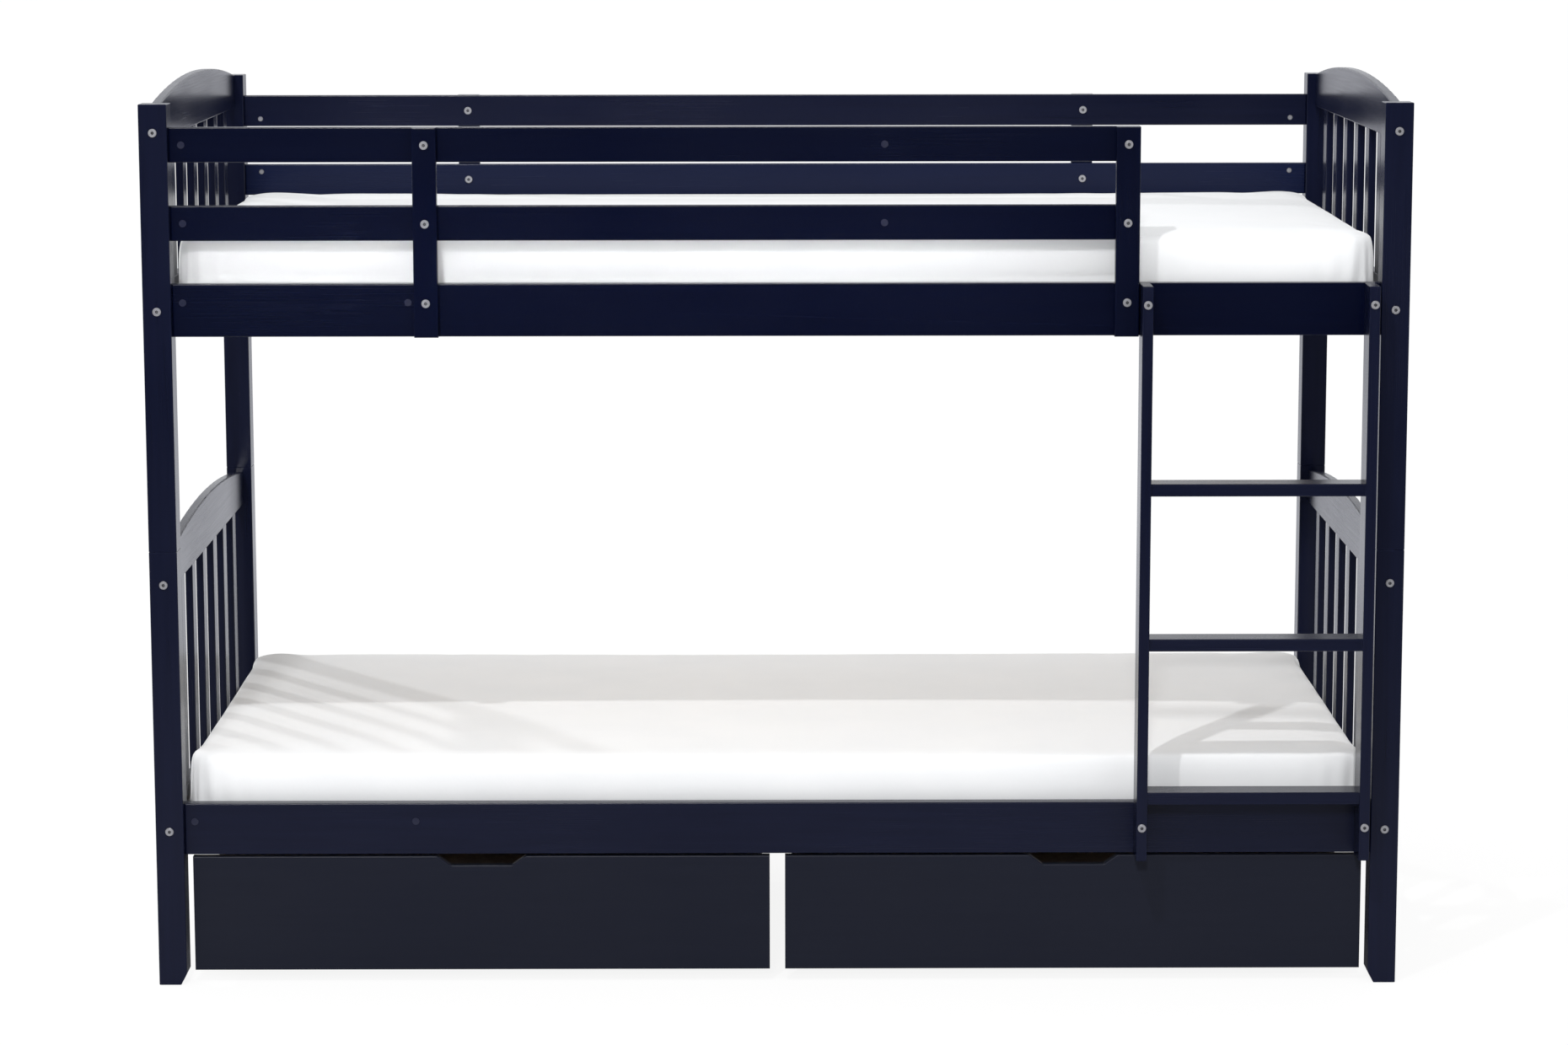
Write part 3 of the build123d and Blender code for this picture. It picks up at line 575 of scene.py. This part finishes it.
# which finish each CAD node wears, by a part of its name; the first row that fits counts
finishRows = [
    ("_drawer_front_wheels", scuffed["casterPlastic"]),
    ("_drawer_rear_wheels", scuffed["casterPlastic"]),
    ("_caster_brackets", scuffed["zincPlate"]),
    ("_drawer_axles", scuffed["zincPlate"]),
    ("_drawer_bottom", scuffed["shadeDarkHardboard"]),
    ("_drawer_sides", sidePaint),
    ("_drawer_front", boardPaint),
    ("_drawer_back", boardPaint),
    ("upper_side_rail_front", shadedFrontPaints["length"]),
    ("_guard_rail_front", shadedFrontPaints["length"]),
    ("low_guard_rail_back", litLowBackPaint),
    ("front_upright", shadedFrontPaints["height"]),
    ("_post_", paints["height"]),
    ("_spindles", paints["height"]),
    ("_upright", paints["height"]),
    ("ladder_stile", paints["height"]),
    ("_arched_rail", paints["depth"]),
    ("_cross_rail", paints["depth"]),
    ("_side_rail", paints["length"]),
    ("_guard_rail", paints["length"]),
    ("ladder_rungs", paints["length"]),
    ("_ledgers", ledgerPine),
    ("_slats", slatPine),
    ("hole_plugs", scuffed["navyPlug"]),
    ("lower_mattress", cottons["lower"]),
    ("upper_mattress", cottons["upper"]),
]


def finishFor(name):
    for part, material in finishRows:
        if part in name:
            return material
    return scuffed["zincPlate"]


for name, node in cadNodes.items():
    material = finishFor(name)
    if not node.material_slots:
        node.data.materials.append(material)
    for slot in node.material_slots:
        slot.material = material
print("finishes given to the CAD nodes")

# mattresses in fitted cotton covers
mattressSettings = {
    "endGrowth": 0.005,
    "weld": 0.00002,
    "voxel": 0.014,
    "pressure": 4.0,
    "growth": -0.012,
    "frames": 20,
    "quality": 6,
    "mass": 0.25,
    "stretchStiffness": 18,
    "shearStiffness": 6,
    "bendStiffness": 0.4,
    "mostMove": 0.006,
    "mostProud": 0.010,
    "mostSideProud": 0.006,
    "heldHeight": 0.014,
    "pleatWidth": 0.034,
    "pleatDepth": 0.0034,
    "pleatReach": 0.085,
    "pleatTop": 1.15,
    "pleatLean": 0.35,
    "waveDepth": 0.0012,
    "waveTop": 1.1,
    "waveRun": (7.3, 11.9),
    "rippleShare": 0.6,
    "rippleRate": 2.7,
    "rippleStart": 1.3,
    "edgeLift": 0.0055,
    "edgeReach": 0.07,
    "cornerPush": 0.007,
    "fill": 0.9,
}


def copyOfNode(name, newName, weld):
    mesh = cadNodes[name].data.copy()
    piece = bpy.data.objects.new(newName, mesh)
    scene.collection.objects.link(piece)
    build = bmesh.new()
    build.from_mesh(mesh)
    bmesh.ops.remove_doubles(build, verts=build.verts, dist=weld)
    bmesh.ops.recalc_face_normals(build, faces=build.faces)
    build.to_mesh(mesh)
    build.free()
    return piece


def applyModifiers(piece):
    graph = bpy.context.evaluated_depsgraph_get()
    mesh = bpy.data.meshes.new_from_object(piece.evaluated_get(graph))
    piece.modifiers.clear()
    piece.data = mesh


def readVectors(mesh, kind):
    values = np.zeros(len(mesh.vertices) * 3, np.float32)
    mesh.vertices.foreach_get(kind, values)
    return values.reshape(-1, 3).astype(float)


def setPoints(mesh, values):
    mesh.vertices.foreach_set("co", values.astype(np.float32).ravel())
    mesh.update()


# blows the cover up a little, held at its foot, and limits how far it moves
def swellCover(piece, settings, floor):
    before = readVectors(piece.data, "co")
    held = [i for i, co in enumerate(before) if co[2] < floor + settings["heldHeight"]]
    group = piece.vertex_groups.new(name="held")
    group.add(held, 1.0, "REPLACE")
    cloth = piece.modifiers.new("cover", "CLOTH")
    values = cloth.settings
    values.quality = settings["quality"]
    values.mass = settings["mass"]
    values.tension_stiffness = settings["stretchStiffness"]
    values.compression_stiffness = settings["stretchStiffness"]
    values.shear_stiffness = settings["shearStiffness"]
    values.bending_stiffness = settings["bendStiffness"]
    values.use_pressure = True
    values.uniform_pressure_force = settings["pressure"]
    values.shrink_min = settings["growth"]
    values.vertex_group_mass = "held"
    values.effector_weights.gravity = 0
    cloth.collision_settings.use_collision = False
    cloth.point_cache.frame_start = 1
    cloth.point_cache.frame_end = settings["frames"]
    for number in range(1, settings["frames"] + 1):
        scene.frame_set(number)
    applyModifiers(piece)
    scene.frame_set(1)
    move = readVectors(piece.data, "co") - before
    length = np.linalg.norm(move, axis=1)
    share = np.minimum(1.0, settings["mostMove"] / np.maximum(length, 1e-9))
    setPoints(piece.data, before + move * share[:, None])


# small pleats where the fitted cover is gathered round the corners, a gentle wave along the sides,
# and a fuller rim and corners
def gatherCorners(piece, settings, low, high):
    mesh = piece.data
    co = readVectors(mesh, "co")
    normals = readVectors(mesh, "normal")
    height = (co[:, 2] - low.z) / (high.z - low.z)
    endGap = np.minimum(co[:, 0] - low.x, high.x - co[:, 0])
    sideGap = np.minimum(co[:, 1] - low.y, high.y - co[:, 1])
    along = endGap - sideGap
    corner = np.hypot(endGap, sideGap)
    nearest = np.minimum(endGap, sideGap)
    upright = 1 - np.abs(normals[:, 2]) ** 2
    fade = np.exp(-(corner / settings["pleatReach"]) ** 2) * np.clip(settings["pleatTop"] - height, 0, 1)
    lean = settings["pleatLean"] * height * np.sign(along)
    turns = 2 * math.pi * (along / settings["pleatWidth"] + lean)
    pleats = settings["pleatDepth"] * np.sin(turns) * fade * upright
    run = co[:, 0] * settings["waveRun"][0] + co[:, 1] * settings["waveRun"][1]
    ripple = settings["rippleShare"] * np.sin(settings["rippleRate"] * run + settings["rippleStart"])
    wave = settings["waveDepth"] * (np.sin(run) + ripple) * np.clip(settings["waveTop"] - height, 0, 1)
    moved = co + normals * (pleats + wave)[:, None]
    rim = np.exp(-(nearest / settings["edgeReach"]) ** 2) * np.clip(2 * height - 1, 0, 1)
    moved[:, 2] += settings["edgeLift"] * rim
    atCorner = np.exp(-(corner / settings["edgeReach"]) ** 2)
    moved[:, 0] += settings["cornerPush"] * np.sign(co[:, 0]) * atCorner
    setPoints(mesh, moved)


def makeMattress(bunk, settings):
    node = bunk + "_mattress"
    low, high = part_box(node)
    piece = copyOfNode(node, bunk + "MattressCover", settings["weld"])
    co = readVectors(piece.data, "co")
    co[:, 0] *= 1 + 2 * settings["endGrowth"] / (high.x - low.x)
    setPoints(piece.data, co)
    remesh = piece.modifiers.new("even", "REMESH")
    remesh.mode = "VOXEL"
    remesh.voxel_size = settings["voxel"]
    applyModifiers(piece)
    swellCover(piece, settings, low.z)
    smooth = piece.modifiers.new("fine", "SUBSURF")
    smooth.levels = smooth.render_levels = 1
    applyModifiers(piece)
    gatherCorners(piece, settings, low, high)
    co = readVectors(piece.data, "co")
    proud = np.array((settings["mostProud"], settings["mostSideProud"], settings["mostProud"]))
    lowest = np.array(low) - proud * (1, 1, 0)
    setPoints(piece.data, np.clip(co, lowest, np.array(high) + proud))
    for face in piece.data.polygons:
        face.use_smooth = True
    piece.data.materials.clear()
    piece.data.materials.append(cottons[bunk])
    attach(piece, bunk + "_mattress_body")
    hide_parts(node)
    print(bunk, "mattress made with", len(piece.data.polygons), "faces")


for bunk in bunks:
    makeMattress(bunk, mattressSettings)

# pale floor that keeps a faint shadow; in reflections it is dark in front and bright behind
floorSettings = {
    "size": 80.0,
    "color": (0.86, 0.86, 0.86, 1),
    "glossColor": (0.87, 0.885, 0.95, 1),
    "darkColor": (0, 0, 0, 1),
    "glow": 0.89,
    "share": 0.14,
    "farGloss": 0.05,
    "nearGloss": 0.35,
    "backGloss": 0.84,
    "backNear": 5.0,
    "backFar": 13.0,
    "farFront": -5.0,
    "nearFront": -0.9,
    "underBed": 0.3,
    "pastBed": 1.0,
}


def makeFloorMaterial(settings):
    material = bpy.data.materials.new("studioFloor")
    material.use_nodes = True
    tree = material.node_tree
    tree.nodes.clear()
    rays = addNode(tree, "ShaderNodeLightPath").outputs
    place = addNode(tree, "ShaderNodeTexCoord").outputs["Object"]
    depth = addNode(tree, "ShaderNodeSeparateXYZ", {0: place}).outputs["Y"]
    frontRange = (settings["farFront"], settings["nearFront"], settings["farGloss"], settings["nearGloss"])
    front = spread(tree, depth, *frontRange)
    sweep = spread(tree, depth, settings["backNear"], settings["backFar"], 1.0, settings["backGloss"])
    behind = spread(tree, depth, settings["underBed"], settings["pastBed"])
    mirrored = mathNode(tree, "MAXIMUM", front, mathNode(tree, "MULTIPLY", behind, sweep))
    fading = mathNode(tree, "SUBTRACT", 1.0, mirrored)
    fading = mathNode(tree, "MULTIPLY", fading, rays["Is Glossy Ray"])
    tone = mixColors(tree, rays["Is Glossy Ray"], settings["color"], settings["glossColor"])
    tone = mixColors(tree, fading, tone, settings["darkColor"])
    plain = addNode(tree, "ShaderNodeBsdfDiffuse", {"Color": tone})
    soft = [c * settings["share"] for c in settings["color"][:3]] + [1]
    faint = addNode(tree, "ShaderNodeBsdfDiffuse", {"Color": soft})
    glow = addNode(tree, "ShaderNodeEmission", {"Strength": settings["glow"]})
    seen = addNode(tree, "ShaderNodeAddShader", {0: faint.outputs[0], 1: glow.outputs[0]})
    mixed = {0: rays["Is Camera Ray"], 1: plain.outputs[0], 2: seen.outputs[0]}
    mixed = addNode(tree, "ShaderNodeMixShader", mixed)
    addNode(tree, "ShaderNodeOutputMaterial", {"Surface": mixed.outputs[0]})
    return material


def makeFloor(settings):
    build = bmesh.new()
    bmesh.ops.create_grid(build, x_segments=1, y_segments=1, size=settings["size"])
    mesh = bpy.data.meshes.new("studioFloor")
    build.to_mesh(mesh)
    build.free()
    floor = bpy.data.objects.new("studioFloor", mesh)
    scene.collection.objects.link(floor)
    mesh.materials.append(makeFloorMaterial(settings))


makeFloor(floorSettings)

# studio light: a firm lamp high at the front left, a low broad one straight in front, a low one behind
# at the left, and two narrow strips that fill in under the front guard rail
lightSettings = {
    "key": {"place": (-0.98, -3.00, 5.30), "power": 372.0, "radius": 0.05},
    "front": {"travel": (0.10, 0.88, -0.47), "strength": 1.0, "angle": 5.0},
    "rear": {"travel": (0.62, -0.78, -0.37), "strength": 0.85, "angle": 2.2},
    "leftStrip": {
        "place": (-0.275, -2.60, 1.23), "width": 1.45, "height": 0.10, "spread": 16.0, "power": 0.60,
    },
    "rightStrip": {
        "place": (0.82, -2.60, 1.23), "width": 0.34, "height": 0.10, "spread": 16.0, "power": 0.05,
    },
    "sunDistance": 5,
}


def hangLamp(name, data, place):
    lamp = bpy.data.objects.new(name, data)
    lamp.location = place
    scene.collection.objects.link(lamp)
    return lamp


def makeSun(name, row, distance):
    data = bpy.data.lights.new(name, "SUN")
    data.energy = row["strength"]
    data.angle = math.radians(row["angle"])
    travel = Vector(row["travel"])
    lamp = hangLamp(name, data, travel * -distance)
    lamp.rotation_mode = "QUATERNION"
    lamp.rotation_quaternion = travel.to_track_quat("-Z", "Y")


def makeLamp(name, row):
    data = bpy.data.lights.new(name, "POINT")
    data.energy = row["power"]
    data.shadow_soft_size = row["radius"]
    hangLamp(name, data, row["place"])


def makeStrip(name, row):
    data = bpy.data.lights.new(name, "AREA")
    data.shape = "RECTANGLE"
    data.size = row["width"]
    data.size_y = row["height"]
    data.spread = math.radians(row["spread"])
    data.energy = row["power"]
    lamp = hangLamp(name, data, row["place"])
    lamp.rotation_euler = (math.pi / 2, 0, 0)
    lamp.visible_camera = False
    lamp.visible_glossy = False


# white walls all round, darker in reflections from in front
wallSettings = {
    "diffuse": 0.80,
    "frontGloss": 0.03,
    "backGloss": 0.95,
    "glossTurn": (-0.25, 0.35),
    "color": (1, 1, 1, 1),
    "glossColor": (0.945, 0.960, 1, 1),
}


def makeWorld(settings):
    world = bpy.data.worlds.new("studioWalls")
    scene.world = world
    world.use_nodes = True
    tree = world.node_tree
    rays = addNode(tree, "ShaderNodeLightPath").outputs
    toward = addNode(tree, "ShaderNodeTexCoord").outputs["Generated"]
    depth = addNode(tree, "ShaderNodeSeparateXYZ", {0: toward}).outputs["Y"]
    gloss = spread(tree, depth, *settings["glossTurn"], settings["frontGloss"], settings["backGloss"])
    shiny = mathNode(tree, "MAXIMUM", rays["Is Glossy Ray"], rays["Is Transmission Ray"])
    extra = mathNode(tree, "SUBTRACT", gloss, settings["diffuse"])
    strength = mathNode(tree, "MULTIPLY_ADD", extra, shiny, settings["diffuse"])
    missing = mathNode(tree, "SUBTRACT", 1.0, strength)
    strength = mathNode(tree, "MULTIPLY_ADD", missing, rays["Is Camera Ray"], strength)
    color = mixColors(tree, shiny, settings["color"], settings["glossColor"])
    plug(tree, tree.nodes["Background"], {"Strength": strength, "Color": color})


makeLamp("keyLamp", lightSettings["key"])
makeSun("frontLamp", lightSettings["front"], lightSettings["sunDistance"])
makeSun("rearLamp", lightSettings["rear"], lightSettings["sunDistance"])
makeStrip("leftStripLamp", lightSettings["leftStrip"])
makeStrip("rightStripLamp", lightSettings["rightStrip"])
makeWorld(wallSettings)
scene.view_settings.view_transform = "Standard"
print("floor and light made")
